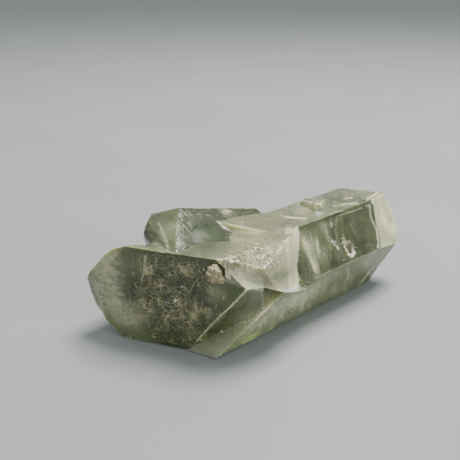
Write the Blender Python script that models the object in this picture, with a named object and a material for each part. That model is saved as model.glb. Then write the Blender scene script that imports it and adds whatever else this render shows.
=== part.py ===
"""Chlorite quartz: a group of intergrown quartz crystals lying on a prism face.

The group is one solid. Each crystal is a block cut to its flat faces, and the crystals
are fused with Boolean unions. The c axis of the main prism runs along X, and the whole
stands on z = 0. Sizes below are in millimetres.
"""
import bpy
import bmesh
from math import cos, radians, sin
from mathutils import Matrix, Vector

MM = 0.001
BLANK = 170.0             # edge of the block that a crystal is cut from
LAYER = 0.3               # height of the low growth layers

# main prism: it lies on one of its six faces
PRISM_HEIGHT = 22.4
FRONT_EDGE = (0.0, -10.1, 12.2)    # where the two front faces meet
BACK_EDGE = (0.0, 13.6, 11.0)      # where the two back faces meet
UPPER_LEAN = 30                    # how far the upper side faces lean from upright
LOWER_LEAN = 22                    # and the lower ones, in degrees

# near end: one tall face cut through every crystal there, and a steep face under it
NEAR_FOOT = (-51.7, 0.9, 0.0)
NEAR_AZIMUTH = -152
SLOPE_FOOT = (-49.9, -5.1, 0.0)    # the main prism's own sloping end face
SLOPE_AZIMUTH = -160
SLOPE_ELEVATION = 46
STEEP_FOOT = (-50.9, -0.6, 2.8)
STEEP_AZIMUTH = -111.5
STEEP_ELEVATION = -27

# far end: the chisel edge runs from its top corner down to the tip
CHISEL_TOP = (9.2, -2.6, 22.2)
TIP = (11.5, -7.4, 12.6)


def direction(azimuth, elevation):
    """Unit vector from a compass angle off +X and a height angle, in degrees."""
    flat = cos(radians(elevation))
    return Vector((flat * cos(radians(azimuth)),
                   flat * sin(radians(azimuth)),
                   sin(radians(elevation))))


def new_object(name, mesh, collection):
    data = bpy.data.meshes.new(name)
    mesh.to_mesh(data)
    mesh.free()
    obj = bpy.data.objects.new(name, data)
    collection.objects.link(obj)
    return obj


def crystal(name, faces, collection):
    """A convex crystal: a block cut by each face, given as (point, azimuth, elevation)."""
    mesh = bmesh.new()
    bmesh.ops.create_cube(mesh, size=BLANK * MM)
    for point, azimuth, elevation in faces:
        everything = mesh.verts[:] + mesh.edges[:] + mesh.faces[:]
        result = bmesh.ops.bisect_plane(mesh, geom=everything, dist=1e-7, clear_outer=True,
                                        plane_co=Vector(point) * MM,
                                        plane_no=direction(azimuth, elevation))
        rim = [item for item in result["geom_cut"] if isinstance(item, bmesh.types.BMEdge)]
        bmesh.ops.holes_fill(mesh, edges=rim, sides=0)
    bmesh.ops.recalc_face_normals(mesh, faces=mesh.faces[:])
    return new_object(name, mesh, collection)


def main_prism(parts):
    """The long prism with its far termination. Its near end is cut later."""
    sides = [((0, 0, 0), 0, -90),
             ((0, 0, PRISM_HEIGHT), 0, 90),
             (FRONT_EDGE, -90, UPPER_LEAN),
             (FRONT_EDGE, -90, -LOWER_LEAN),
             (BACK_EDGE, 90, UPPER_LEAN),
             (BACK_EDGE, 90, -UPPER_LEAN)]
    ends = [((-1.2, -10.1, 12.2), -79.1, 26.7),       # upper steep face, the pale one
            ((-1.0, -10.1, 12.2), -87.6, -21.7),      # lower steep face
            (CHISEL_TOP, 26.6, -2.6),
            (TIP, -49.1, -31.2),
            (TIP, 14.3, -26.9),
            (SLOPE_FOOT, SLOPE_AZIMUTH, SLOPE_ELEVATION)]
    return crystal("quartz_group", sides + ends, parts)


def near_crystal(cutters):
    """The second prism, behind the first: its tall cut face shows the moss and the left lobe."""
    return crystal("near_crystal", [
        ((0, 0, 0.15), 0, -90),
        ((-56, 5, 22.2), 0, 90),
        (NEAR_FOOT, NEAR_AZIMUTH, 0),
        (STEEP_FOOT, STEEP_AZIMUTH, STEEP_ELEVATION),
        ((-45.8, -10.1, 16.5), -108, 38),
        ((-48.5, -5.6, 21.8), -97, 45),
        ((-42, -11, 16), -46, 0),
        ((-58.9, 14.3, 22.2), 54, 55),
        ((-59, 15.2, 21.6), 90, 62),
        ((-59.8, 19.3, 18.8), 92, 50),
        ((-61.4, 21.7, 15.5), 95, 34),
        ((-62.2, 23.8, 12.7), 95, -4),
        ((-61.8, 22.0, 7.0), 92, -28),
        ((-61.2, 18.7, 15.7), -178, 24),
        ((-61.8, 19.9, 12.2), -178, -4),
        ((-60.5, 17.0, 2.2), 90, -48),
        ((-22, 12, 12), 8, 38),
        ((-20, 14, 6), 20, -20)], cutters)


def upper(cutters):
    """The upper crystal: it leans on both prisms and points up to the left."""
    return crystal("upper", [
        ((-45.2, 14.8, 27), -84, 66),
        ((-45.2, 14.8, 27), 65, 42),
        ((-54.4, 6.2, 22.25), -153, 72),
        ((-51.5, 0.9, 0), NEAR_AZIMUTH, 0),
        ((-52.9, 12.6, 22), 165, -20),
        ((-51.3, 16, 23.4), 175, 35),
        ((-49.3, 17.4, 24.8), 145, 40),
        ((-51.9, 16, 23.2), 115, 5),
        ((-48, 1, 20.5), -85, -35),
        ((-46, 22, 15), 95, -12),
        ((-40, 14, 6), 0, -90),
        ((-24, 9, 20), 8, 12)], cutters)


def block(cutters):
    """The frosted block on the upper front face."""
    return crystal("block", [
        ((-31.7, -8.5, 23.3), -98.4, 45.8),
        ((-42.0, -10.3, 20.2), -120.4, 0),
        ((-35.5, -12.3, 13.0), -84.4, 18.4),
        ((-32.4, -8.4, 22.8), -65.0, 12.7),
        ((-31.7, -8.7, 23.4), 120, 86),
        ((-52.4, 0.5, 20), NEAR_AZIMUTH, 0),
        ((-48.8, -6.4, 18.8), 176, -67),
        ((-39.5, 1.5, 20), 132, 0),
        ((-28.5, -2, 20), 42, 0)], cutters)


def shoulder(cutters):
    """The rough table that joins the block, the upper crystal and the main prism's top."""
    return crystal("shoulder", [
        ((-24.3, 7.2, 22.7), -6, 86),
        ((-35.2, 2.2, 23.2), -157, 12),
        ((-26.0, 7.3, 22.4), 80, 20),
        ((-20.8, 2, PRISM_HEIGHT), 5, 30),
        ((-30, -7.4, 23), -98, 20),
        ((0, -9.95, 12.2), -90, UPPER_LEAN),
        ((0, 0, 17), 0, -90)], cutters)


def plate(cutters):
    """A thin growth layer on the upper front face, with a spike at its foot."""
    return crystal("plate", [
        ((-27.4, -11.0, 12.0), -90, 30),
        ((-24.9, -4.6, 22.5), -10, 5),
        ((-24.4, -8.6, 15.2), -20, -5),
        ((-25.6, -10.8, 11.9), -60, -50),
        ((-27.4, -10.9, 12.0), -130, -42),
        ((-26, -4.9, 22.0), -90, 75),
        ((-30, 0, 20), 180, 0),
        ((-28, -3, 20), 90, -30)], cutters)


def small_crystal(cutters):
    """The small crystal on the top face near the back edge."""
    return crystal("small_crystal", [
        ((-12, 3, 23.7), 60, 80),
        ((-10.6, 6.6, 22.9), 110, 40),
        ((-8.6, 3.0, 22.8), 10, 35),
        ((-12.7, -2.2, 22.5), -60, 40),
        ((-16.0, 1.0, 22.7), -140, 40),
        ((-13.5, 5.6, 22.9), 170, 30),
        ((-12, 3, 20), 0, -90)], cutters)


def front_layer(cutters):
    """A low growth layer on the upper front face, next to the far termination."""
    return crystal("front_layer", [
        ((0, -10.1 - LAYER, 12.2), -90, 30),
        ((-1.8, -10.1, 12.2), -20, -14),
        ((0, -4.9, 21.6), -85, 80),
        ((-11.6, -4.5, 21.8), 165, 35),
        ((-13.1, -7.3, 17.0), 175, -20),
        ((-9.0, -8.9, 14.2), -110, -55),
        ((0, -2.5, 16), 90, -30)], cutters)


def top_layer(cutters):
    """A low growth layer on the top face: its front edge crosses the face at a slant."""
    return crystal("top_layer", [
        ((0, 0, PRISM_HEIGHT + LAYER), 0, 90),
        ((-9.4, 0.1, PRISM_HEIGHT), -118, 20),
        ((8.2, -2.6, PRISM_HEIGHT), 27, 20),
        ((0.6, -3.8, PRISM_HEIGHT), -79.1, 26.7),
        ((0, -3.7, PRISM_HEIGHT), -90, 30),
        ((0, 5.9, PRISM_HEIGHT), 88, 20),
        ((-7.9, 4, PRISM_HEIGHT), -165, 30),
        ((0, 0, PRISM_HEIGHT - 2), 0, -90)], cutters)


def nub(cutters):
    """The small rounded lump between the block and the near face."""
    mesh = bmesh.new()
    bmesh.ops.create_icosphere(mesh, subdivisions=2, radius=1.6 * MM)
    bmesh.ops.scale(mesh, verts=mesh.verts[:], vec=(0.8, 0.9, 1.25))
    bmesh.ops.translate(mesh, verts=mesh.verts[:], vec=Vector((-49.6, -4.6, 19.3)) * MM)
    return new_object("nub", mesh, cutters)


def pit(cutters):
    """The cutter of the rough pit just above the middle front edge."""
    mesh = bmesh.new()
    bmesh.ops.create_icosphere(mesh, subdivisions=2, radius=1.35 * MM)
    bmesh.ops.scale(mesh, verts=mesh.verts[:], vec=(0.85, 0.8, 1.3))
    bmesh.ops.translate(mesh, verts=mesh.verts[:], vec=Vector((-11.2, -9.1, 14.5)) * MM)
    return new_object("pit", mesh, cutters)


def groove(name, start, end, width, cutters):
    """The cutter of a short V groove between two points on a face."""
    start = Vector(start) * MM
    end = Vector(end) * MM
    along = end - start
    mesh = bmesh.new()
    place = Matrix.Translation((start + end) / 2) @ along.to_track_quat("Z", "Y").to_matrix().to_4x4()
    bmesh.ops.create_cone(mesh, cap_ends=True, segments=4, radius1=width / 2 * MM,
                          radius2=width / 3 * MM, depth=along.length, matrix=place)
    return new_object(name, mesh, cutters)


def chip(cutters):
    return groove("chip", (-14.0, -5.05, 21.0), (-14.7, -5.65, 20.0), 0.7, cutters)


def scratch(cutters):
    return groove("scratch", (-15.8, -7.0, 17.6), (-14.6, -8.5, 15.0), 0.6, cutters)


def quartz():
    """Translucent grey-green quartz."""
    material = bpy.data.materials.new("quartz")
    material.use_nodes = True
    shader = material.node_tree.nodes["Principled BSDF"]
    shader.inputs["Base Color"].default_value = (0.20, 0.23, 0.16, 1)
    shader.inputs["Roughness"].default_value = 0.18
    shader.inputs["Metallic"].default_value = 0
    shader.inputs["IOR"].default_value = 1.54
    shader.inputs["Transmission Weight"].default_value = 0.6
    return material


def join(body, other, operation):
    change = body.modifiers.new(other.name, "BOOLEAN")
    change.operation = operation
    change.solver = "EXACT"
    change.object = other
    other.hide_render = True
    other.display_type = "WIRE"


def place_on_origin(body, cutters):
    """Hang everything on an empty that puts the middle of the footprint at the origin."""
    bpy.context.view_layer.update()
    shape = body.evaluated_get(bpy.context.evaluated_depsgraph_get())
    low, high = Vector(shape.bound_box[0]), Vector(shape.bound_box[6])
    middle = (low + high) / 2
    anchor = bpy.data.objects.new("anchor", None)
    body.users_collection[0].objects.link(anchor)
    anchor.location = (-middle.x, -middle.y, -low.z)
    for obj in [body] + list(cutters.objects):
        obj.parent = anchor


def main():
    for obj in list(bpy.data.objects):
        bpy.data.objects.remove(obj, do_unlink=True)
    parts = bpy.data.collections.new("chlorite_quartz")
    cutters = bpy.data.collections.new("cutters")
    bpy.context.scene.collection.children.link(parts)
    bpy.context.scene.collection.children.link(cutters)

    body = main_prism(parts)
    body.data.materials.append(quartz())
    for grown in (near_crystal, upper, block, shoulder, plate, small_crystal, front_layer, top_layer, nub):
        join(body, grown(cutters), "UNION")
    for missing in (pit, chip, scratch):
        join(body, missing(cutters), "DIFFERENCE")
    place_on_origin(body, cutters)


main()
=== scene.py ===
import random
from math import cos, pi, radians, sin

import bmesh
import bpy
import numpy as np
from mathutils import Matrix, Vector, noise
from mathutils.bvhtree import BVHTree


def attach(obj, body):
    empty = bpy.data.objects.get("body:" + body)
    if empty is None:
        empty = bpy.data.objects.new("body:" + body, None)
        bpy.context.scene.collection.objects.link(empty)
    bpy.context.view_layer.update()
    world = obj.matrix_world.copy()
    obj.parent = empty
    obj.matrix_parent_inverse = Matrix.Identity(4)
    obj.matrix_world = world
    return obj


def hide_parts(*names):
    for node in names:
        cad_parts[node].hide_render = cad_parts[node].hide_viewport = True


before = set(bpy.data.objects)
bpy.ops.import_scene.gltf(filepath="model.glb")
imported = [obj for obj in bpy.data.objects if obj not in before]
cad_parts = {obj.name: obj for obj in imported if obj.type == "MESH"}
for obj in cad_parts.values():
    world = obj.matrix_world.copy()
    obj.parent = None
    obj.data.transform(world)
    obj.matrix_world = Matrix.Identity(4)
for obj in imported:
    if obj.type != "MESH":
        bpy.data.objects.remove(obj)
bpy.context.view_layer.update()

mm = 0.001
scene = bpy.context.scene


def direction(azimuth, elevation):
    flat = cos(radians(elevation))
    return Vector((flat * cos(radians(azimuth)), flat * sin(radians(azimuth)), sin(radians(elevation))))


def addObject(name, mesh, look):
    piece = bpy.data.objects.new(name, mesh)
    scene.collection.objects.link(piece)
    mesh.materials.append(look)
    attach(piece, "root")
    return piece


# a socket that takes part in sums: each operator adds a Math node
class Wire:
    def __init__(self, look, socket):
        self.look = look
        self.socket = socket

    def math(self, operation, first, second):
        return self.look.node("ShaderNodeMath", {"operation": operation}, {0: first, 1: second})

    def __add__(self, other):
        return self.math("ADD", self, other)

    def __radd__(self, other):
        return self.math("ADD", other, self)

    def __sub__(self, other):
        return self.math("SUBTRACT", self, other)

    def __rsub__(self, other):
        return self.math("SUBTRACT", other, self)

    def __mul__(self, other):
        return self.math("MULTIPLY", self, other)

    def __rmul__(self, other):
        return self.math("MULTIPLY", other, self)

    def clamped(self):
        return self.look.node("ShaderNodeClamp", {}, {"Value": self})


# a material under construction
class Look:
    def __init__(self, name):
        self.material = bpy.data.materials.new(name)
        self.material.use_nodes = True
        self.tree = self.material.node_tree
        self.tree.nodes.clear()
        self.output = self.tree.nodes.new("ShaderNodeOutputMaterial")
        place = self.node("ShaderNodeTexCoord", {}, {}, "Object")
        self.place = self.node("ShaderNodeVectorMath", {"operation": "SCALE"}, {0: place, "Scale": 1 / mm})

    # settings are set first, then the sockets get their values or links
    def node(self, kind, settings, sockets, output=0):
        node = self.tree.nodes.new(kind)
        for name, value in settings.items():
            if name == "stops":
                for stop, (position, colour) in zip(self.stopsOf(node, len(value)), value):
                    stop.position = position
                    stop.color = (*colour, 1) if len(colour) == 3 else colour
            else:
                setattr(node, name, value)
        for name, value in sockets.items():
            if isinstance(value, Wire):
                self.tree.links.new(value.socket, node.inputs[name])
            else:
                node.inputs[name].default_value = value
        return Wire(self, node.outputs[output])

    def stopsOf(self, node, count):
        stops = node.color_ramp.elements
        while len(stops) < count:
            stops.new(0.5)
        return stops

    def noise(self, scale, detail=2.0, stretch=(1, 1, 1), distortion=0.0):
        place = self.node("ShaderNodeMapping", {}, {"Vector": self.place, "Scale": stretch})
        return self.node("ShaderNodeTexNoise", {},
                         {"Vector": place, "Scale": scale, "Detail": detail, "Distortion": distortion})

    def ramp(self, value, stops):
        return self.node("ShaderNodeValToRGB", {"stops": stops}, {"Fac": value})

    def between(self, value, low, high):
        return self.node("ShaderNodeMapRange", {}, {"Value": value, "From Min": low, "From Max": high})

    def mix(self, share, first, second):
        return self.node("ShaderNodeMix", {"data_type": "RGBA"}, {0: share, 6: first, 7: second}, 2)

    def attribute(self, name):
        return self.node("ShaderNodeAttribute", {"attribute_name": name}, {}, "Fac")

    def bump(self, height, strength, distance):
        return self.node("ShaderNodeBump", {}, {"Height": height, "Strength": strength, "Distance": distance})

    def principled(self, sockets):
        return self.node("ShaderNodeBsdfPrincipled", {}, sockets)

    def finish(self, surface, volume=None):
        self.tree.links.new(surface.socket, self.output.inputs["Surface"])
        if volume is not None:
            self.tree.links.new(volume.socket, self.output.inputs["Volume"])
        return self.material


quartz = {
    "ior": 1.544,
    "absorbed": (0.44, 0.52, 0.20, 1), "density": 125,
    "clearTint": (0.93, 0.95, 0.85, 1),
    "milk": [(0.3, (0.14, 0.16, 0.075)), (0.5, (0.215, 0.24, 0.125)), (0.7, (0.32, 0.34, 0.195))],
    "frost": (0.79, 0.77, 0.54, 1), "deep": (0.045, 0.062, 0.024, 1), "stain": (0.24, 0.17, 0.09, 1),
    "milkDepth": 0.0025,
}


def quartzLook():
    look = Look("quartz")
    cloud = look.attribute("cloud")
    frost = look.attribute("frost")
    # growth lines run round the prism, across its length
    lines = look.noise(1.0, 5, (2.6, 0.12, 0.12), 0.3)
    lumps = look.noise(0.35, 4)
    veil = look.noise(0.11, 3, (1, 1, 1), 0.8)
    fine = look.noise(2.6, 5)
    crust = look.noise(1.2, 3, (1, 1, 1), 0.6)
    milk = look.ramp(lumps * 0.4 + fine * 0.25 + lines * 0.35, quartz["milk"])
    milk = look.mix((frost * (look.between(fine, 0.3, 0.6) * 0.7 + 0.55)).clamped(), milk, quartz["frost"])
    milk = look.mix(look.attribute("deep"), milk, quartz["deep"])
    stained = (look.attribute("stain") * look.between(crust, 0.42, 0.56)).clamped()
    milk = look.mix(stained, milk, quartz["stain"])
    height = lines * 0.4 + lumps * 0.4 + fine * (frost * 0.7 + 0.05)
    normal = look.bump(height, 0.35, 0.25 * mm)
    rough = 0.10 + frost * 0.40 + look.between(fine, 0.5, 0.8) * 0.15
    clear = look.principled({
        "Base Color": quartz["clearTint"], "Roughness": rough, "IOR": quartz["ior"],
        "Transmission Weight": 1.0, "Normal": normal})
    milky = look.principled({
        "Base Color": milk, "Roughness": rough, "IOR": quartz["ior"], "Normal": normal,
        "Subsurface Weight": 1.0, "Subsurface Radius": (1.0, 1.0, 0.6),
        "Subsurface Scale": quartz["milkDepth"]})
    share = (cloud + (veil - 0.5) * 0.7 + (lumps - 0.5) * 0.25 + (lines - 0.5) * 0.35).clamped()
    surface = look.node("ShaderNodeMixShader", {}, {0: share, 1: clear, 2: milky})
    volume = look.node("ShaderNodeVolumeAbsorption", {},
                       {"Color": quartz["absorbed"], "Density": quartz["density"]})
    return look.finish(surface, volume)


def mineralLook(name, dark, pale, scale, roughness):
    look = Look(name)
    grain = look.noise(scale, 4)
    colour = look.mix(look.between(grain, 0.35, 0.65), dark, pale)
    normal = look.bump(grain, 0.4, 0.05 * mm)
    return look.finish(look.principled({"Base Color": colour, "Roughness": roughness, "Normal": normal}))


print("materials")
quartzMaterial = quartzLook()
chlorite = mineralLook("chlorite", (0.014, 0.019, 0.005, 1), (0.09, 0.105, 0.034, 1), 0.9, 0.8)
paleThread = mineralLook("paleThread", (0.11, 0.11, 0.036, 1), (0.76, 0.71, 0.40, 1), 0.45, 0.6)
# pale grains: real flakes in the veils, and painted glints in the white chips
whiteFlakeAndGlint = mineralLook("whiteFlakeAndGlint", (0.72, 0.70, 0.58, 1), (0.95, 0.93, 0.84, 1), 0.8, 0.35)
crustLook = mineralLook("crust", (0.15, 0.115, 0.055, 1), (0.40, 0.365, 0.22, 1), 1.8, 0.75)
crumbLook = mineralLook("crumb", (0.34, 0.30, 0.16, 1), (0.76, 0.71, 0.49, 1), 1.1, 0.6)
# cream crust grains, brightened to also serve as painted glints
creamAndGlintLook = mineralLook("creamCrustAndGlint", (0.66, 0.54, 0.36, 1), (0.96, 0.92, 0.78, 1), 1.4, 0.45)


body = {
    "cell": 0.55,
    "wave": 0.12, "waveScale": 5.0,
    "step": 0.08, "stepLength": 2.3,
    "wear": 0.20, "wearScale": 1.3, "wearShare": 0.3, "edgeAngle": 12, "rounding": 2,
    # what wear adds to the marks (pale worn edges: partly real frosting, partly painted edge highlight), and
    # how fast etching hides it
    "wearPalesAndHighlights": {"cloud": 0.35, "frost": 0.60}, "etchHides": 3,
    # steps run only on faces along the prism; a face belongs to a kind within the face angle
    "alongPrism": 0.12, "faceAngle": 1.5, "smoothAngle": 28,
    # places worn rounder than the rest, in mm
    "soft": [{"at": (-20.0, 3.0, 25.0), "radius": 10.0, "passes": 9},
             {"at": (-36.0, 11.0, 10.0), "radius": 9.0, "passes": 6},
             {"at": (-14.0, -13.5, 22.0), "radius": 6.0, "passes": 4}],
    "base": {"cloud": 0.34, "frost": 0.05, "deep": 0.0, "stain": 0.0,
             "etch": 0.03, "etchScale": 1.2, "fine": False, "steps": 1.0},
}
# faces by the way they look (azimuth, elevation), with what differs from the base
faceKinds = {
    "end": {"way": (-152, 0), "cloud": 0.18, "deep": 0.26, "etch": 0.07, "etchScale": 1.0, "fine": True,
            "steps": 0.0},
    "steepUnder": {"way": (-111.5, -27), "cloud": 0.36, "deep": 0.1, "etch": 0.07, "fine": True,
                   "steps": 0.0},
    "nearFront": {"way": (-108, 38), "cloud": 0.62, "frost": 0.34, "deep": 0.06, "etch": 0.10,
                  "fine": True, "steps": 0.0},
    "lobeTop": {"way": (-178, 24), "cloud": 0.46, "frost": 0.08, "deep": 0.20, "etch": 0.45,
                "etchScale": 2.4, "fine": True, "steps": 0.0},
    "lobeSide": {"way": (-178, -4), "cloud": 0.46, "frost": 0.08, "deep": 0.20, "etch": 0.45,
                 "etchScale": 2.4, "fine": True, "steps": 0.0},
    "slope": {"way": (-160, 46), "cloud": 0.62, "frost": 0.12, "fine": True, "steps": 0.0},
    "upperFront": {"way": (-90, 30), "cloud": 0.20, "deep": 0.30, "etch": 0.04, "fine": True, "steps": 0.6},
    "lowerFront": {"way": (-90, -22), "cloud": 0.53},
    "top": {"way": (0, 90), "cloud": 0.44, "frost": 0.08, "deep": 0.05, "etch": 0.05},
    # the shoulder's side faces away from the light; its raised frost is painted light, so its shade does not
    # show as a dark line
    "shoulderSide": {"way": (-157, 12), "cloud": 0.66, "frost": 0.40, "etch": 0.1, "fine": True,
                     "steps": 0.0},
    "shoulder": {"way": (-6, 86), "cloud": 0.58, "frost": 0.14, "deep": 0.14, "stain": 0.22,
                 "etch": 0.18, "etchScale": 0.9, "fine": True, "steps": 0.0},
    "termination": {"way": (-79.1, 26.7), "cloud": 0.80, "frost": 0.45, "fine": True, "steps": 0.0},
    "roughTop": {"way": (-98.4, 45.8), "cloud": 0.78, "frost": 0.42, "stain": 0.42, "etch": 0.60,
                 "etchScale": 1.1, "fine": True, "steps": 0.0},
    "blockLeft": {"way": (-120.4, 0), "cloud": 0.70, "frost": 0.52, "stain": 0.24, "etch": 0.16,
                  "fine": True, "steps": 0.0},
    "blockFront": {"way": (-84.4, 18.4), "cloud": 0.72, "frost": 0.50, "etch": 0.10, "fine": True,
                   "steps": 0.0},
    "blockRight": {"way": (-65.0, 12.7), "cloud": 0.80, "frost": 0.68, "etch": 0.08, "fine": True,
                   "steps": 0.0},
    "blockRim": {"way": (120, 86), "cloud": 0.60, "frost": 0.16, "stain": 0.20, "etch": 0.34,
                 "etchScale": 1.2, "fine": True, "steps": 0.0},
    "blockUnder": {"way": (176, -67), "cloud": 0.70, "frost": 0.40, "steps": 0.0},
    "upperTop": {"way": (-84, 66), "cloud": 0.60, "frost": 0.0, "deep": 0.80, "etch": 0.05,
                 "etchScale": 2.0, "fine": True, "steps": 0.0},
    "upperSide": {"way": (-153, 72), "cloud": 0.52, "frost": 0.02, "deep": 0.42, "etch": 0.05,
                  "etchScale": 2.0, "fine": True, "steps": 0.0},
    "backUpper": {"way": (90, 30), "cloud": 0.24, "deep": 0.14, "etch": 0.04},
    "backLower": {"way": (90, -30), "cloud": 0.40},
    "crystalBack": {"way": (65, 42), "cloud": 0.30, "deep": 0.10, "etch": 0.06, "steps": 0.0},
    "crystalUnder": {"way": (90, -48), "cloud": 0.42, "steps": 0.0},
    "upperBack": {"way": (54, 55), "cloud": 0.40, "deep": 0.22, "etch": 0.06, "steps": 0.0},
    "farEnd": {"way": (26.6, -2.6), "cloud": 0.54, "frost": 0.22, "steps": 0.0},
    "farUnder": {"way": (14.3, -26.9), "cloud": 0.54, "frost": 0.20, "steps": 0.0},
}
# soft patches, in mm: where, how wide, and what they add
patches = [
    {"at": (-32.2, 5.3, 13.4), "radius": (1.4, 1.4, 3.4), "deep": 0.45, "cloud": 0.25},
    {"at": (-32.5, 6.0, 18.5), "radius": (3.4, 4.5, 3.0), "cloud": 0.38, "deep": -0.1},
    {"at": (-32.2, 5.7, 12.0), "radius": (1.0, 1.0, 2.0), "deep": 0.40},
    {"at": (-35.0, 11.5, 13.0), "radius": (3.4, 4.4, 8.0), "cloud": 0.60, "frost": 0.34, "deep": -0.20},
    {"at": (-32.5, 7.0, 5.0), "radius": (3.6, 4.8, 4.0), "cloud": 0.50, "frost": 0.32, "deep": -0.20},
    # painted light: the lower front is lightened with cloud and frost, as if lit through from behind
    {"at": (-4.0, -14.0, 7.0), "radius": (10.0, 4.0, 5.0), "cloud": 0.40, "frost": 0.50},
    {"at": (-20.5, -14.0, 19.0), "radius": (3.0, 2.5, 1.6), "cloud": 0.40, "frost": 0.40},
    {"at": (-16.0, -12.5, 5.5), "radius": (5.0, 3.0, 4.0), "cloud": 0.15, "frost": 0.20},
    {"at": (-20.0, -11.0, 1.0), "radius": (6.0, 4.0, 2.0), "cloud": 0.50},
    {"at": (3.5, -13.0, 18.5), "radius": (2.4, 2.5, 4.0), "cloud": 0.22, "frost": 0.20, "deep": -0.1},
    {"at": (-29.0, -0.5, 14.5), "radius": (2.4, 4.0, 5.5), "deep": 0.20, "cloud": 0.08},
    {"at": (-28.0, -2.0, 10.0), "radius": (1.6, 2.6, 2.6), "deep": 0.25, "cloud": 0.10},
    {"at": (-23.5, -10.5, 15.0), "radius": (1.8, 2.8, 2.6), "cloud": 0.48, "frost": 0.14, "deep": -0.28},
    {"at": (-18.0, -0.8, 23.0), "radius": (4.6, 2.8, 2.2), "deep": 0.75, "cloud": 0.45, "frost": -0.1},
    {"at": (-20.2, -5.2, 22.2), "radius": (4.5, 3.0, 2.0), "deep": 0.80, "cloud": 0.40, "frost": -0.15},
    {"at": (-16.0, 8.0, 25.5), "radius": (8.0, 1.8, 2.0), "deep": 0.50, "cloud": 0.2},
    {"at": (-22.6, 3.3, 24.4), "radius": (2.6, 2.0, 1.5), "cloud": 0.20, "frost": 0.08, "deep": -0.25},
    {"at": (-7.8, 3.5, 24.2), "radius": (1.2, 1.6, 1.5), "frost": 0.45, "cloud": 0.40},
    {"at": (0.8, -13.2, 19.0), "radius": (1.8, 2.2, 4.5), "cloud": 0.50, "frost": 0.42, "deep": -0.25},
    {"at": (1.4, -15.4, 14.4), "radius": (0.9, 1.2, 2.2), "cloud": 0.50, "frost": 0.50, "deep": -0.3},
    {"at": (6.0, -13.6, 16.0), "radius": (3.6, 3.0, 5.0), "cloud": 0.22, "frost": 0.0, "deep": 0.12},
    {"at": (8.8, -11.6, 20.5), "radius": (1.2, 1.5, 1.6), "cloud": 0.35, "frost": 0.35},
    {"at": (19.0, -12.9, 18.5), "radius": (6.0, 2.5, 4.0), "deep": 0.06, "cloud": 0.03},
    {"at": (23.0, -12.3, 20.0), "radius": (2.2, 2.0, 2.2), "deep": 0.12},
    {"at": (31.0, -12.9, 17.0), "radius": (1.5, 2.0, 4.0), "frost": 0.30, "cloud": 0.15},
    {"at": (34.0, -13.6, 14.0), "radius": (1.6, 1.6, 1.6), "frost": 0.35, "cloud": 0.15},
    {"at": (-11.9, -14.1, 10.6), "radius": (1.4, 2.0, 2.6), "cloud": 0.25, "frost": 0.20},
    {"at": (-14.5, -15.9, 18.0), "radius": (3.0, 2.0, 1.8), "deep": 0.16, "cloud": -0.06},
    {"at": (-11.0, -16.6, 17.0), "radius": (4.5, 2.0, 1.3), "deep": 0.36, "frost": -0.25, "cloud": -0.1},
    {"at": (-18.5, -8.8, 22.8), "radius": (3.0, 3.0, 2.0), "stain": 0.25, "frost": -0.12},
    {"at": (-17.0, -14.2, 21.4), "radius": (6.0, 3.0, 2.0), "stain": 0.28},
    {"at": (-12.5, -16.4, 19.6), "radius": (5.0, 1.8, 1.1), "stain": 0.35},
    {"at": (-21.6, -12.8, 20.6), "radius": (2.0, 1.8, 1.6), "stain": 0.35},
    {"at": (11.5, -4.6, 23.4), "radius": (3.6, 4.0, 1.6), "cloud": 0.35, "frost": 0.30},
    {"at": (14.2, -14.6, 14.5), "radius": (0.9, 1.0, 1.2), "stain": 0.7, "deep": 0.6, "cloud": 0.6},
    {"at": (4.7, -8.5, 22.4), "radius": (0.6, 0.6, 0.6), "stain": 0.9, "cloud": 0.6},
    {"at": (29.0, -5.0, 22.4), "radius": (6.0, 5.0, 1.5), "cloud": 0.10, "frost": 0.16},
    {"at": (-24.0, -9.5, 3.0), "radius": (2.0, 2.0, 2.0), "deep": 0.35},
    {"at": (-20.5, -9.8, 7.0), "radius": (2.0, 2.4, 3.0), "deep": 0.35, "stain": 0.15},
]
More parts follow.
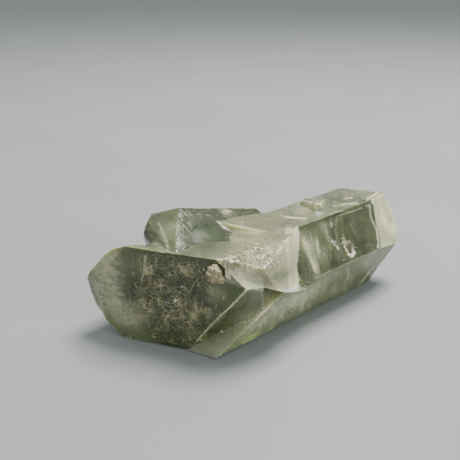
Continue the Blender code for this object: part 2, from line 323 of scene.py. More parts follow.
# narrow marks along paths, in mm
streaks = [
    {"path": [(-25.5, -6.9, 2.8), (-23.3, -11.1, 9.2), (-21.9, -13.5, 12.2), (-20.4, -16.4, 16.5)],
     "width": 0.30, "cloud": 0.7, "frost": 0.55},
    # painted reflection of an internal facet: a dark line down the face, with pale lines along the bright
    # edge beside it
    {"path": [(26.1, -11.3, 21.5), (24.9, -12.7, 19.1), (25.4, -14.5, 16.1), (23.8, -16.2, 12.6)],
     "width": 0.34, "cloud": 0.6, "frost": 0.55},
    {"path": [(27.0, -11.2, 21.5), (25.9, -12.7, 19.1), (26.5, -14.5, 16.1), (24.9, -16.2, 12.6),
              (23.0, -12.8, 3.0)],
     "width": 0.40, "deep": 0.8, "cloud": 0.5, "frost": -0.4},
    {"path": [(28.0, -11.2, 21.6), (26.7, -12.7, 19.2), (27.3, -14.4, 16.3)], "width": 0.26,
     "cloud": 0.5, "frost": 0.5},
    {"path": [(26.6, -13.6, 5.6), (24.2, -12.0, 1.4)], "width": 0.5, "cloud": 0.5, "frost": 0.4},
    {"path": [(12.5, -15.2, 8.9), (9.7, -13.7, 5.5)], "width": 0.6, "deep": 0.5, "cloud": 0.2},
    {"path": [(3.3, -16.2, 11.7), (0.0, -15.0, 8.6)], "width": 0.5, "deep": 0.4, "cloud": 0.2},
    {"path": [(17.0, -15.6, 11.5), (14.0, -13.9, 6.2)], "width": 0.8, "deep": 0.35, "cloud": 0.1},
    {"path": [(11.0, -15.9, 13.1), (14.5, -15.0, 8.5), (16.2, -13.7, 5.4)], "width": 0.25, "cloud": 0.4,
     "frost": 0.4},
    {"path": [(-22.4, -11.6, 21.6), (-20.4, -14.4, 21.5), (-16.5, -16.6, 20.1), (-12.3, -16.1, 21.2),
              (-6.5, -14.8, 21.5)],
     "width": 0.55, "stain": 0.35, "cloud": 0.1},
    {"path": [(-22.8, -12.1, 18.2), (-19.9, -15.9, 17.0), (-16.5, -17.6, 15.4), (-10.8, -18.6, 13.3),
              (-5.5, -16.7, 12.2)],
     "width": 0.7, "cloud": 0.3, "frost": 0.45},
    {"path": [(-11.8, 0.4, 23.0), (-8.5, -7.2, 23.0)], "width": 0.7, "cloud": 0.7, "frost": 0.10},
    # a painted highlight on the block's top: a pinkish-white streak
    {"path": [(-3.1, -11.7, 23.3), (-3.5, -14.2, 21.7)], "width": 1.0, "cloud": 0.4, "frost": 0.5},
    {"path": [(-3.8, -14.9, 16.2), (-3.0, -16.0, 10.3)], "width": 0.5, "deep": 0.7, "cloud": 0.3,
     "frost": -0.4},
    {"path": [(-15.6, -14.3, 7.1), (-11.9, -15.3, 10.1)], "width": 0.30, "cloud": 0.5, "frost": 0.4},
    {"path": [(3.4, -4.4, 22.5), (6.0, -8.0, 22.4)], "width": 0.45, "cloud": 0.6, "frost": 0.8},
    {"path": [(23.1, -6.0, 22.7), (24.9, -6.7, 22.7)], "width": 0.35, "cloud": 0.5, "frost": 0.6},
    {"path": [(12.7, -9.7, 22.4), (17.1, -10.7, 22.1)], "width": 0.5, "cloud": 0.2, "frost": 0.18},
    {"path": [(17.5, -7.0, 22.4), (23.0, -10.4, 22.3)], "width": 0.5, "cloud": 0.2, "frost": 0.18},
    {"path": [(26.9, 0.2, 22.4), (34.0, -8.6, 22.4)], "width": 0.7, "deep": 0.25, "frost": -0.1},
    {"path": [(15.0, -1.0, 22.4), (27.0, -9.4, 22.4)], "width": 0.5, "deep": 0.25, "frost": -0.1},
    {"path": [(-30.5, 2.5, 20.4), (-24.2, -9.4, 20.4)], "width": 1.5, "cloud": 0.16},
    {"path": [(-30.7, 2.9, 20.4), (-30.9, 3.2, 16.9), (-31.3, 3.9, 14.7)], "width": 0.28, "cloud": 0.6,
     "frost": 0.6},
    {"path": [(-30.9, 3.2, 17.2), (-29.9, 1.3, 18.8)], "width": 0.22, "cloud": 0.5, "frost": 0.5},
    {"path": [(-23.8, 7.4, 24.9), (-24.8, 4.7, 24.2), (-26.3, 1.5, 23.3), (-27.6, -0.9, 22.2)],
     "width": 0.28, "cloud": 0.35, "frost": 0.35},
    {"path": [(-31.6, 4.9, 22.2), (-30.2, 2.0, 22.1), (-26.9, -3.5, 22.2)], "width": 0.25, "stain": 0.4,
     "cloud": 0.3},
]
# families of streaks drawn at random: the box they start in, the way they run, their length and number
streakFields = [
    {"low": (-36.5, 6.0, 7.0), "high": (-31.5, 14.0, 18.0), "way": (-0.47, 0.88, 0.15),
     "length": (1.0, 3.2), "count": 40,
     "onto": "end", "width": 0.22, "cloud": 0.06, "frost": 0.24},
    {"low": (6.0, -13.5, 20.5), "high": (24.0, -13.0, 21.5), "way": (-0.25, -0.5, -0.83),
     "length": (3.0, 7.0), "count": 14,
     "onto": "upperFront", "width": 0.35, "deep": 0.35},
    {"low": (3.0, -13.5, 15.5), "high": (13.0, -13.0, 21.5), "way": (-0.25, -0.5, -0.83),
     "length": (1.5, 4.0), "count": 22,
     "onto": "upperFront", "width": 0.20, "cloud": 0.24, "frost": 0.24},
    {"low": (-14.0, -15.0, 3.0), "high": (24.0, -13.0, 10.0), "way": (0.55, 0.30, -0.78),
     "length": (2.0, 6.0), "count": 18,
     "onto": "lowerFront", "width": 0.35, "deep": 0.20},
    {"low": (-14.0, -15.0, 3.0), "high": (24.0, -13.0, 11.0), "way": (0.55, 0.30, -0.78),
     "length": (2.0, 5.0), "count": 22,
     "onto": "lowerFront", "width": 0.28, "cloud": 0.25, "frost": 0.22},
    {"low": (-4.0, -9.0, 22.4), "high": (33.0, 6.0, 22.4), "way": (0.8, -0.6, 0.0),
     "length": (2.0, 6.0), "count": 30,
     "onto": "top", "width": 0.30, "deep": 0.22, "frost": -0.1},
    {"low": (-14.0, -17.0, 18.0), "high": (-5.0, -15.0, 23.0), "way": (0.6, -0.3, -0.4),
     "length": (0.4, 1.6), "count": 50,
     "onto": "roughTop", "width": 0.22, "stain": 0.55},
    {"low": (-2.0, 3.0, 14.0), "high": (29.0, 4.0, 21.5), "way": (-0.2, 0.5, -0.8),
     "length": (2.0, 7.0), "count": 26,
     "onto": "backUpper", "width": 0.30, "cloud": 0.30, "frost": 0.30},
    {"low": (-2.0, 3.0, 14.0), "high": (29.0, 4.0, 21.5), "way": (-0.2, 0.5, -0.8),
     "length": (2.0, 7.0), "count": 22,
     "onto": "backUpper", "width": 0.40, "deep": 0.40},
    {"low": (-20.0, 8.0, 13.0), "high": (2.0, 12.0, 24.0), "way": (0.1, 0.6, -0.8),
     "length": (3.0, 11.0), "count": 26,
     "onto": "crystalBack", "width": 0.35, "cloud": 0.30, "frost": 0.26},
    {"low": (-20.0, 8.0, 13.0), "high": (2.0, 12.0, 24.0), "way": (0.1, 0.6, -0.8),
     "length": (2.0, 6.0), "count": 24,
     "onto": "crystalBack", "width": 0.45, "deep": 0.40},
    {"low": (0.0, 3.0, 2.0), "high": (29.0, 4.0, 10.0), "way": (0.3, -0.5, -0.8), "length": (2.0, 6.0),
     "count": 30,
     "onto": "backLower", "width": 0.32, "cloud": 0.25, "frost": 0.24},
]
endFace = {"foot": Vector((-26.28, -5.43, 0)), "normal": direction(-152, 0), "across": direction(-62, 0)}
# a point in mm on each face that takes random streaks
facePoints = {
    "end": endFace["foot"], "upperFront": Vector((0, -16.43, 12.2)), "lowerFront": Vector((0, -16.43, 12.2)),
    "top": Vector((0, 0, 22.4)), "roughTop": Vector((-6.3, -14.83, 23.3)),
    "backUpper": Vector((14.9, 3.9, 16.8)), "backLower": Vector((15.0, 3.9, 5.4)),
    "crystalBack": Vector((-8.1, 10.6, 19.3)),
}
kindWays = {name: direction(*kind["way"]) for name, kind in faceKinds.items()}
marks = ("cloud", "frost", "deep", "stain")


def endPoint(across, height, depth=0.0):
    # a place on the tall end face: mm to the right along it, up, and into the stone
    return endFace["foot"] + endFace["across"] * across + Vector((0, 0, height)) - endFace["normal"] * depth


def kindOf(normal):
    name = max(kindWays, key=lambda one: kindWays[one].dot(normal))
    known = kindWays[name].dot(normal) > cos(radians(body["faceAngle"]))
    return {**body["base"], **(faceKinds[name] if known else {})}


def cutGrid(mesh, cell):
    # planes across each axis cut the faces into small even ones
    for axis in range(3):
        low = min(v.co[axis] for v in mesh.verts)
        high = max(v.co[axis] for v in mesh.verts)
        normal = Vector([float(i == axis) for i in range(3)])
        count = int((high - low) / (cell * mm))
        for i in range(1, count + 1):
            place = normal * (low + (high - low) * i / (count + 1))
            bmesh.ops.bisect_plane(mesh, geom=mesh.verts[:] + mesh.edges[:] + mesh.faces[:], dist=1e-7,
                                   plane_co=place, plane_no=normal)


def growthSteps(point):
    # low saw-tooth steps that run round the prism
    run = (point.x + 0.7 * noise.noise(point / 3)) / body["stepLength"]
    return body["step"] * (run - int(run // 1))


def etching(point, scale):
    return 0.5 + 0.5 * noise.fractal(point / scale, 0.8, 2.0, 3)


# how near each point is to a path: 1 on it, falling off over the width
def pathShare(points, path, width):
    nearest = np.full(len(points), np.inf)
    for start, end in zip(path, path[1:]):
        start, along = np.array(start), np.array(end) - np.array(start)
        share = np.clip((points - start) @ along / (along @ along), 0, 1)
        gap = points - start - share[:, None] * along
        nearest = np.minimum(nearest, (gap ** 2).sum(axis=1))
    return np.exp(-nearest / width ** 2)


def fieldStreaks():
    # each random streak starts in the field's box, dropped onto the face it belongs to
    for field in streakFields:
        normal = kindWays[field["onto"]]
        way = Vector(field["way"])
        way = (way - normal * way.dot(normal)).normalized()
        for _ in range(field["count"]):
            start = Vector([random.uniform(low, high) for low, high in zip(field["low"], field["high"])])
            start -= normal * (start - facePoints[field["onto"]]).dot(normal)
            bend = way.cross(normal) * random.gauss(0, 0.12)
            middle = start + (way + bend) * random.uniform(*field["length"]) / 2
            end = middle + (way - bend) * (middle - start).length
            streak = {name: field[name] * random.uniform(0.4, 1.2) for name in marks if name in field}
            yield {"path": [start, middle, end], "width": field["width"] * random.uniform(0.7, 1.5), **streak}


def smoothOut(mesh, verts):
    bmesh.ops.smooth_vert(mesh, verts=verts, factor=0.5, use_axis_x=True, use_axis_y=True, use_axis_z=True)


def makeBody():
    mesh = bmesh.new()
    mesh.from_mesh(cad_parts["quartz_group"].data)
    bmesh.ops.remove_doubles(mesh, verts=mesh.verts[:], dist=1e-6)
    cutGrid(mesh, body["cell"])
    fineEdges = {edge for face in mesh.faces if kindOf(face.normal)["fine"] for edge in face.edges}
    bmesh.ops.subdivide_edges(mesh, edges=list(fineEdges), cuts=1, use_grid_fill=True)
    bmesh.ops.triangulate(mesh, faces=mesh.faces[:])
    kinds = {face.index: kindOf(face.normal) for face in mesh.faces}
    corner = cos(radians(body["edgeAngle"]) / 2)
    moves = []
    values = {name: [] for name in marks}
    for v in mesh.verts:
        point = v.co / mm
        normals = [face.normal for face in v.link_faces]
        normal = sum(normals, Vector()).normalized()
        sharp = min(normal.dot(n) for n in normals) < corner
        kind = max((kinds[face.index] for face in v.link_faces), key=lambda one: one["frost"])
        depth = body["wave"] * (0.5 + 0.5 * noise.noise(point / body["waveScale"]))
        depth += kind["steps"] * growthSteps(point) * (abs(normal.x) < body["alongPrism"])
        depth += kind["etch"] * etching(point, kind["etchScale"])
        worn = max(0.0, noise.noise(point / body["wearScale"]) + body["wearShare"]) * sharp
        moves.append(-normal * (depth + body["wear"] * worn) * mm)
        # worn sharp edges are painted paler: real wear frosting plus a painted edge highlight
        seen = worn * max(0.0, 1 - body["etchHides"] * kind["etch"])
        for name in marks:
            values[name].append(kind[name] + body["wearPalesAndHighlights"].get(name, 0.0) * seen)
    points = np.array([v.co[:] for v in mesh.verts]) / mm
    values = {name: np.array(value) for name, value in values.items()}
    for mark in patches + streaks + list(fieldStreaks()):
        if "at" in mark:
            share = np.exp(-(((points - mark["at"]) / mark["radius"]) ** 2).sum(axis=1))
        else:
            share = pathShare(points, mark["path"], mark["width"])
        for name in marks:
            values[name] += share * mark.get(name, 0.0)
    for v, move in zip(mesh.verts, moves):
        v.co += move
    for _ in range(body["rounding"]):
        smoothOut(mesh, mesh.verts[:])
    for place in body["soft"]:
        near = [v for v in mesh.verts if (v.co / mm - Vector(place["at"])).length < place["radius"]]
        for _ in range(place["passes"]):
            smoothOut(mesh, near)
    for v in mesh.verts:
        v.co.z = max(v.co.z, 0.0)
    data = bpy.data.meshes.new("quartzBody")
    mesh.to_mesh(data)
    mesh.free()
    for name in ("custom_normal", "sharp_edge", "sharp_face"):
        if name in data.attributes:
            data.attributes.remove(data.attributes[name])
    for name, value in values.items():
        data.attributes.new(name, "FLOAT", "POINT").data.foreach_set("value", np.clip(value, 0, 1))
    data.shade_smooth()
    data.set_sharp_from_angle(angle=radians(body["smoothAngle"]))
    print("quartz body,", len(data.polygons), "faces")
    piece = addObject("quartzBody", data, quartzMaterial)
    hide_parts("quartz_group")
    return piece


random.seed(824)
stone = makeBody()
surface = BVHTree.FromPolygons([v.co for v in stone.data.vertices],
                               [face.vertices for face in stone.data.polygons])


def depthOf(point):
    # how far under the stone's surface, and above the rest plane, a place is, in mm
    spot, normal, _, _ = surface.find_nearest(point * mm)
    return min(point.z, (spot / mm - point).dot(normal))


def settled(point, sink):
    # the nearest place on the surface, and a little way in
    spot, normal, _, _ = surface.find_nearest(point * mm)
    return spot / mm - normal * sink


def scatter(name, template, places, look):
    # many copies of one small shape, each with its own place
    shape = np.array([[*v.co, 1.0] for v in template.verts])
    corners = np.array([[v.index for v in face.verts] for face in template.faces])
    turned = np.concatenate([shape @ np.array(place).T for place in places])[:, :3]
    shifted = np.concatenate([corners + i * len(shape) for i in range(len(places))])
    data = bpy.data.meshes.new(name)
    data.from_pydata(turned.tolist(), [], shifted.tolist())
    print(name + ",", len(data.polygons), "faces")
    return addObject(name, data, look)


def grainShape(squash=1.0):
    grain = bmesh.new()
    bmesh.ops.create_icosphere(grain, subdivisions=1, radius=1.0)
    bmesh.ops.scale(grain, vec=(1, 1, squash), verts=grain.verts[:])
    grain.verts.index_update()
    return grain


def placed(point, size):
    # a matrix that puts a unit shape at a point in mm, turned any way
    turn = Vector([random.gauss(0, 1) for _ in range(3)]).to_track_quat("Z", "Y")
    spread = Vector([random.uniform(0.6, 1.3) for _ in range(3)]) * size * mm
    return Matrix.Translation(point * mm) @ turn.to_matrix().to_4x4() @ Matrix.Diagonal(spread).to_4x4()


moss = {
    # across, up, spread across, spread up: where the threads crowd on the end face
    "clumps": [
        (-6.5, 17.0, 2.2, 2.0), (-3.0, 17.0, 2.8, 2.0), (-5.5, 12.5, 2.6, 2.4), (-2.0, 10.0, 2.8, 1.6),
        (-6.0, 7.0, 2.8, 2.4), (-1.5, 6.0, 2.2, 2.4), (2.5, 8.5, 2.2, 1.2), (1.5, 17.0, 2.2, 1.8),
        (4.0, 9.5, 1.6, 1.6), (-9.5, 10.0, 1.8, 3.0), (-10.0, 15.5, 1.0, 2.5), (-11.0, 6.5, 1.6, 2.0),
        (-4.0, 3.5, 3.0, 1.4), (-2.0, 19.4, 3.6, 1.0)],
    "stride": 0.25, "curl": 0.38, "bend": 0.22, "drift": 0.06, "gapSize": 1.7,
    "strandDepth": 0.15, "strandThickness": 0.09, "strandWobble": 0.07, "strandParts": 8,
}
paleMoss = {
    "count": 1250, "thickness": (0.016, 0.070), "depth": (0.05, 0.34), "steps": (5, 15), "gap": -0.02,
    # single long strands: their places across and up the end face
    "strands": [
        [(-9.0, 11.6), (-5.8, 10.5), (-3.3, 9.0)], [(-2.6, 6.8), (-2.3, 4.6), (-1.9, 2.6), (-0.2, 1.5)],
        [(0.7, 6.0), (1.0, 4.2)], [(-7.6, 16.9), (-5.5, 16.0), (-4.0, 17.2)],
        [(-1.0, 13.2), (-0.5, 11.6), (-0.9, 10.4)], [(1.0, 13.4), (1.6, 12.0), (1.2, 10.8)],
        [(3.2, 17.0), (5.0, 15.2), (5.2, 14.2)]],
}
darkMoss = {
    "count": 800, "thickness": (0.06, 0.15), "depth": (0.30, 1.3), "steps": (4, 9), "gap": -1.0,
    "strands": [],
}


def onEndFace(across, height):
    # true where the end face has stone behind it
    return -14.5 < across < 8.5 and 0.8 < height < 21.4 and height > 1.3 * (across - 0.4)


def mossThreads(name, threads, look):
    curve = bpy.data.curves.new(name, "CURVE")
    curve.dimensions = "3D"
    curve.bevel_depth = 1.0 * mm
    curve.bevel_resolution = 0
    curve.use_fill_caps = True
    made = 0
    parts = moss["strandParts"]
    for strand in threads["strands"]:
        spline = curve.splines.new("POLY")
        spline.points.add(parts * (len(strand) - 1))
        for i, point in enumerate(spline.points):
            leg = min(i // parts, len(strand) - 2)
            place = Vector(strand[leg]).lerp(Vector(strand[leg + 1]), i / parts - leg)
            place += Vector((random.gauss(0, moss["strandWobble"]), random.gauss(0, moss["strandWobble"])))
            point.co = (*endPoint(place.x, place.y, moss["strandDepth"]) * mm, 1)
            point.radius = moss["strandThickness"]
    while made < threads["count"]:
        across, height, wide, tall = random.choice(moss["clumps"])
        place = Vector((random.gauss(across, wide), random.gauss(height, tall)))
        if noise.noise(Vector((*place, 0)) / moss["gapSize"]) < threads["gap"]:
            continue
        turn = random.uniform(0, 2 * pi)
        bend = random.gauss(0, moss["bend"])
        depth = random.uniform(*threads["depth"])
        path = []
        for _ in range(random.randint(*threads["steps"])):
            if onEndFace(*place):
                path.append(endPoint(place.x, place.y, depth) * mm)
            turn += bend + random.gauss(0, moss["curl"])
            place = place + Vector((cos(turn), sin(turn))) * moss["stride"]
            depth = min(threads["depth"][1], max(threads["depth"][0], depth + random.gauss(0, moss["drift"])))
        if len(path) < 3:
            continue
        spline = curve.splines.new("POLY")
        spline.points.add(len(path) - 1)
        thickness = random.uniform(*threads["thickness"])
        for i, point in enumerate(path):
            spline.points[i].co = (*point, 1)
            spline.points[i].radius = thickness * (0.45 + 0.55 * sin(pi * (i + 0.5) / len(path)))
        made += 1
    shape = bpy.data.objects.new(name + "Path", curve)
    scene.collection.objects.link(shape)
    bpy.context.view_layer.update()
    data = bpy.data.meshes.new_from_object(shape.evaluated_get(bpy.context.evaluated_depsgraph_get()))
    bpy.data.objects.remove(shape)
    mesh = bmesh.new()
    mesh.from_mesh(data)
    bmesh.ops.remove_doubles(mesh, verts=mesh.verts[:], dist=0.002 * mm)
    mesh.to_mesh(data)
    mesh.free()
    data.name = name
    print(name + ",", len(data.polygons), "faces")
    return addObject(name, data, look)


mossThreads("paleThreads", paleMoss, paleThread)
mossThreads("darkThreads", darkMoss, chlorite)

# clouds of fine green grains, some deep in the stone: centre and spread in mm, how many and how big
grainClouds = [
    {"at": endPoint(-12.2, 14.0, 1.6), "spread": (0.9, 0.9, 2.6), "count": 600, "size": (0.03, 0.10)},
    {"at": endPoint(-12.4, 12.3, 1.2), "spread": (0.6, 0.6, 0.9), "count": 300, "size": (0.03, 0.10)},
    {"at": endPoint(-8.0, 12.5, 0.3), "spread": (0.5, 0.7, 0.35), "count": 260, "size": (0.06, 0.18)},
    {"at": endPoint(-5.6, 14.0, 0.4), "spread": (0.7, 1.2, 0.5), "count": 260, "size": (0.06, 0.18)},
    {"at": endPoint(-3.8, 10.0, 0.3), "spread": (0.5, 0.7, 0.5), "count": 260, "size": (0.06, 0.18)},
    {"at": endPoint(-2.4, 7.5, 0.3), "spread": (0.5, 0.7, 0.6), "count": 240, "size": (0.06, 0.18)},
    {"at": endPoint(1.8, 7.0, 0.4), "spread": (0.8, 1.4, 0.7), "count": 340, "size": (0.06, 0.18)},
    {"at": endPoint(-1.0, 16.5, 0.5), "spread": (0.8, 1.4, 0.8), "count": 260, "size": (0.06, 0.18)},
    {"at": endPoint(-5.0, 16.0, 1.6), "spread": (1.9, 2.0, 2.2), "count": 700, "size": (0.06, 0.22)},
    {"at": endPoint(-4.0, 9.5, 1.8), "spread": (2.2, 2.6, 3.0), "count": 900, "size": (0.06, 0.26)},
    {"at": endPoint(-3.0, 5.0, 1.8), "spread": (2.0, 2.4, 2.0), "count": 450, "size": (0.06, 0.22)},
    {"at": Vector((-18.0, -0.9, 21.4)), "spread": (2.8, 1.5, 0.7), "count": 900, "size": (0.04, 0.14)},
    {"at": Vector((-17.6, -2.7, 21.0)), "spread": (1.8, 0.8, 0.6), "count": 600, "size": (0.04, 0.14)},
    {"at": Vector((-19.5, -8.7, 5.5)), "spread": (2.0, 0.9, 1.8), "count": 700, "size": (0.04, 0.12)},
]


grainCover = 0.05  # stone over each grain, in mm


def addGrains():
    places = []
    for cloud in grainClouds:
        for _ in range(cloud["count"]):
            point = cloud["at"] + Vector([random.gauss(0, spread) for spread in cloud["spread"]])
            if depthOf(point) > grainCover:
                places.append(placed(point, random.uniform(*cloud["size"])))
    return scatter("greenGrains", grainShape(), places, chlorite)


addGrains()

# veils: sheets of tiny pale flakes inside the stone
veils = [
    {"at": endPoint(-9.7, 17.5, 0.4), "along": endFace["across"] * 0.10 + Vector((0, 0, 1)),
     "side": endFace["across"] * 0.9 - endFace["normal"] * 0.4, "size": (2.9, 0.16), "count": 520},
    {"at": endPoint(-8.6, 17.6, 0.4), "along": endFace["across"] * 0.7 + Vector((0, 0, 0.9)),
     "side": -endFace["normal"], "size": (1.5, 0.2), "count": 200},
    {"at": Vector((-13.5, -14.0, 11.0)), "along": Vector((0.6, -0.1, 0.75)),
     "side": Vector((0, 1, 0)), "size": (3.2, 0.25), "count": 420},
    {"at": Vector((-9.5, -14.3, 9.6)), "along": Vector((0.75, 0.0, 0.65)),
     "side": Vector((0, 1, 0.2)), "size": (2.4, 0.4), "count": 260},
    {"at": endPoint(-10.5, 6.0, 0.4), "along": endFace["across"] + Vector((0, 0, 0.5)),
     "side": Vector((0, 0, 1)), "size": (2.6, 1.8), "count": 260},
]


flake = {"size": (0.03, 0.09), "scatter": 0.05, "cover": 0.02, "squash": 0.4}


def addFlakes():
    places = []
    for veil in veils:
        along, side = veil["along"].normalized(), veil["side"].normalized()
        for _ in range(veil["count"]):
            reach = random.uniform(-1, 1)
            point = veil["at"] + along * reach * veil["size"][0] + side * random.gauss(0, veil["size"][1])
            point += Vector([random.gauss(0, flake["scatter"]) for _ in range(3)])
            if depthOf(point) > flake["cover"]:
                places.append(placed(point, random.uniform(*flake["size"])))
    return scatter("veilFlakes", grainShape(flake["squash"]), places, whiteFlakeAndGlint)


addFlakes()

# painted glints and bright chips on the surface, each a run of small white grains: ends in mm, grain size,
# number
sparkles = [
    (endPoint(-1.6, 14.8), endPoint(-1.4, 14.9), 0.12, 8),
    (endPoint(-3.4, 11.3), endPoint(-2.8, 11.4), 0.16, 12),
    (endPoint(-0.7, 9.5), endPoint(-0.4, 9.4), 0.12, 10), (endPoint(-8.3, 1.5), endPoint(-8.2, 1.8), 0.10, 7),
    (endPoint(3.4, 19.5), endPoint(3.5, 19.7), 0.14, 8), (endPoint(-9.0, 3.0), endPoint(-8.7, 3.1), 0.08, 6),
    (endPoint(7.4, 13.9), endPoint(7.8, 13.4), 0.12, 12),
    (endPoint(-5.4, 10.8), endPoint(-4.2, 10.6), 0.10, 14),
    (Vector((-21.0, -9.5, 4.2)), Vector((-20.8, -9.7, 4.4)), 0.14, 10),
    (Vector((-8.2, -1.7, 22.6)), Vector((-8.0, -1.9, 22.6)), 0.16, 8),
    (Vector((11.35, -11.35, 21.0)), Vector((10.7, -12.0, 20.1)), 0.13, 26),
    (Vector((9.6, -13.2, 17.5)), Vector((10.8, -14.65, 15.1)), 0.16, 40),
    # a painted highlight on the block's top
    (Vector((-3.4, -12.2, 23.1)), Vector((-3.6, -13.8, 22.0)), 0.16, 22),
    (Vector((3.6, -4.8, 22.7)), Vector((6.0, -7.8, 22.5)), 0.16, 34),
]


def addSparkles():
    places = []
    for start, end, size, count in sparkles:
        for _ in range(count):
            offset = Vector([random.gauss(0, size * 0.7) for _ in range(3)])
            point = settled(start.lerp(end, random.random()) + offset, size * 0.3)
            places.append(placed(point, size * random.uniform(0.6, 1.3)))
    return scatter("whiteChips", grainShape(0.6), places, whiteFlakeAndGlint)


addSparkles()

# crumbs on rough faces: centre and spread of each patch in mm, how many and how big
crumbFields = [
    {"at": (-21.5, -12.6, 22.4), "spread": (0.8, 0.7, 0.6), "count": 90, "size": (0.10, 0.36)},
    {"at": (-17.0, -13.6, 22.2), "spread": (1.8, 0.9, 0.7), "count": 80, "size": (0.14, 0.60)},
    {"at": (-13.5, -14.8, 21.2), "spread": (2.0, 0.8, 0.8), "count": 80, "size": (0.14, 0.60)},
    {"at": (-12.0, -16.2, 19.6), "spread": (2.6, 0.5, 0.5), "count": 90, "size": (0.08, 0.34)},
    {"at": (-4.4, -12.6, 23.0), "spread": (0.8, 0.8, 0.5), "count": 80, "size": (0.10, 0.34)},
    {"at": (-11.4, 0.2, 23.2), "spread": (0.5, 0.5, 0.3), "count": 16, "size": (0.08, 0.26)},
    {"at": (-7.8, 3.5, 24.2), "spread": (0.8, 0.8, 0.4), "count": 50, "size": (0.10, 0.32)},
    {"at": (-4.0, -5.0, 22.9), "spread": (4.0, 2.6, 0.3), "count": 110, "size": (0.04, 0.14)},
    {"at": (5.0, -4.5, 22.4), "spread": (1.8, 2.6, 0.3), "count": 80, "size": (0.05, 0.16)},
]


def addCrumbs():
    places = []
    for field in crumbFields:
        for _ in range(field["count"]):
            point = Vector(field["at"]) + Vector([random.gauss(0, spread) for spread in field["spread"]])
            size = random.uniform(*field["size"])
            places.append(placed(settled(point, size * 0.4), size))
    return scatter("crumbs", grainShape(0.6), places, crumbLook)


addCrumbs()

lump = {"at": Vector((-24.15, -10.95, 19.3)), "radii": (1.5, 1.5, 2.0), "rough": 0.34, "roughScale": 0.8,
        "tail": 0.9, "tailWay": Vector((0.55, -0.75, -0.6)), "tailStart": 0.75}


def addLump():
    # the pinkish lump beside the block, with a short tail running down to the right
    mesh = bmesh.new()
    bmesh.ops.create_icosphere(mesh, subdivisions=5, radius=1.0)
    for v in mesh.verts:
        way = v.co.copy()
        point = lump["at"] + Vector([way[i] * lump["radii"][i] for i in range(3)])
        bulge = lump["rough"] * noise.fractal(point / lump["roughScale"], 0.8, 2.0, 4)
        pull = max(0.0, way.dot(lump["tailWay"].normalized()) - lump["tailStart"]) / (1 - lump["tailStart"])
        v.co = (point + way * bulge + lump["tailWay"] * lump["tail"] * pull ** 2) * mm
    data = bpy.data.meshes.new("crustLump")
    mesh.to_mesh(data)
    mesh.free()
    data.shade_smooth()
    return addObject("crustLump", data, crustLook)


addLump()

pitRim = {"at": Vector((14.2, -15.0, 14.5)), "radii": (1.2, 1.65), "count": 300, "size": (0.12, 0.32),
          "depth": (0.05, 0.3), "knob": Vector((13.2, -14.1, 16.3)), "knobCount": 90,
          "knobSpread": (0.35, 0.7), "knobDepth": (0.1, 0.3)}


def addPitRim():
    # broken crust round the pit on the front face, thickest above it; its bright pale grains also stand in
    # for painted glints
    face = direction(-90, 30)
    along = Vector((1, 0, 0))
    up = face.cross(along)
    places = []
    for _ in range(pitRim["count"]):
        turn = random.uniform(0, 2 * pi)
        reach = random.gauss(1.0, 0.10)
        point = (pitRim["at"] + along * cos(turn) * pitRim["radii"][0] * reach
                 - up * sin(turn) * pitRim["radii"][1] * reach - face * random.uniform(*pitRim["depth"]))
        places.append(placed(point, random.uniform(*pitRim["size"])))
    for _ in range(pitRim["knobCount"]):
        point = pitRim["knob"] + along * random.gauss(0, pitRim["knobSpread"][0])
        point += up * random.gauss(0, pitRim["knobSpread"][1])
        point -= face * random.uniform(*pitRim["knobDepth"])
        places.append(placed(point, random.uniform(*pitRim["size"])))
    return scatter("pitRim", grainShape(0.7), places, creamAndGlintLook)


addPitRim()


view = {
    "place": (-0.09838, -0.09633, 0.0743), "tilt": 68, "turn": -42.6, "lens": 50.09,
    "nearest": 0.005, "floorSize": 8.0, "floorTop": -0.0001, "floorSpots": 0.02, "floorRough": 0.65,
    "floorColour": (0.205, 0.225, 0.225, 1), "floorPale": (0.26, 0.275, 0.27, 1),
    "keySize": 0.30, "keyPower": 11.0, "keyPlace": (0.24, 0.02, 0.66), "keyColour": (1.0, 0.97, 0.92),
    "fillSize": 0.5, "fillPower": 1.9, "fillPlace": (0.06, -0.56, 0.20), "fillColour": (0.94, 0.98, 1.0),
    "skyColour": (0.84, 0.88, 0.90, 1), "skyLow": 0.36, "skyHigh": 1.1,
}


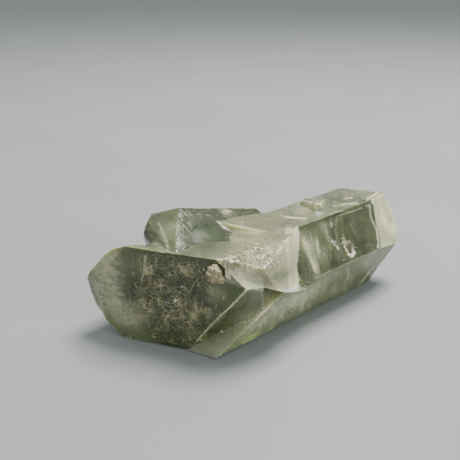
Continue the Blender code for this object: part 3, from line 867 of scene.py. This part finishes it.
def addCamera():
    camera = bpy.data.objects.new("camera", bpy.data.cameras.new("camera"))
    camera.data.lens = view["lens"]
    camera.data.clip_start = view["nearest"]
    camera.location = view["place"]
    camera.rotation_euler = (radians(view["tilt"]), 0, radians(view["turn"]))
    scene.collection.objects.link(camera)
    scene.camera = camera


def addFloor():
    look = Look("floor")
    spots = look.noise(view["floorSpots"], 4)
    colour = look.mix(spots, view["floorColour"], view["floorPale"])
    material = look.finish(look.principled({"Base Color": colour, "Roughness": view["floorRough"]}))
    mesh = bmesh.new()
    bmesh.ops.create_grid(mesh, x_segments=1, y_segments=1, size=view["floorSize"] / 2)
    bmesh.ops.translate(mesh, verts=mesh.verts[:], vec=(0, 0, view["floorTop"]))
    data = bpy.data.meshes.new("floor")
    mesh.to_mesh(data)
    mesh.free()
    data.materials.append(material)
    floor = bpy.data.objects.new("floor", data)
    scene.collection.objects.link(floor)


def addLight(name, place, size, power, colour):
    lamp = bpy.data.lights.new(name, "AREA")
    lamp.size = size
    lamp.energy = power
    lamp.color = colour
    light = bpy.data.objects.new(name, lamp)
    light.location = place
    light.rotation_euler = Vector(place).to_track_quat("Z", "Y").to_euler()
    scene.collection.objects.link(light)


def addSky():
    sky = bpy.data.worlds.new("sky")
    sky.use_nodes = True
    tree = sky.node_tree
    background = tree.nodes["Background"]
    background.inputs["Color"].default_value = view["skyColour"]
    # brighter overhead than near the horizon
    way = tree.nodes.new("ShaderNodeTexCoord")
    split = tree.nodes.new("ShaderNodeSeparateXYZ")
    power = tree.nodes.new("ShaderNodeMapRange")
    power.inputs["To Min"].default_value = view["skyLow"]
    power.inputs["To Max"].default_value = view["skyHigh"]
    tree.links.new(way.outputs["Generated"], split.inputs["Vector"])
    tree.links.new(split.outputs["Z"], power.inputs["Value"])
    tree.links.new(power.outputs["Result"], background.inputs["Strength"])
    scene.world = sky


print("camera, floor and light")
addCamera()
addFloor()
addLight("key", view["keyPlace"], view["keySize"], view["keyPower"], view["keyColour"])
addLight("fill", view["fillPlace"], view["fillSize"], view["fillPower"], view["fillColour"])
addSky()
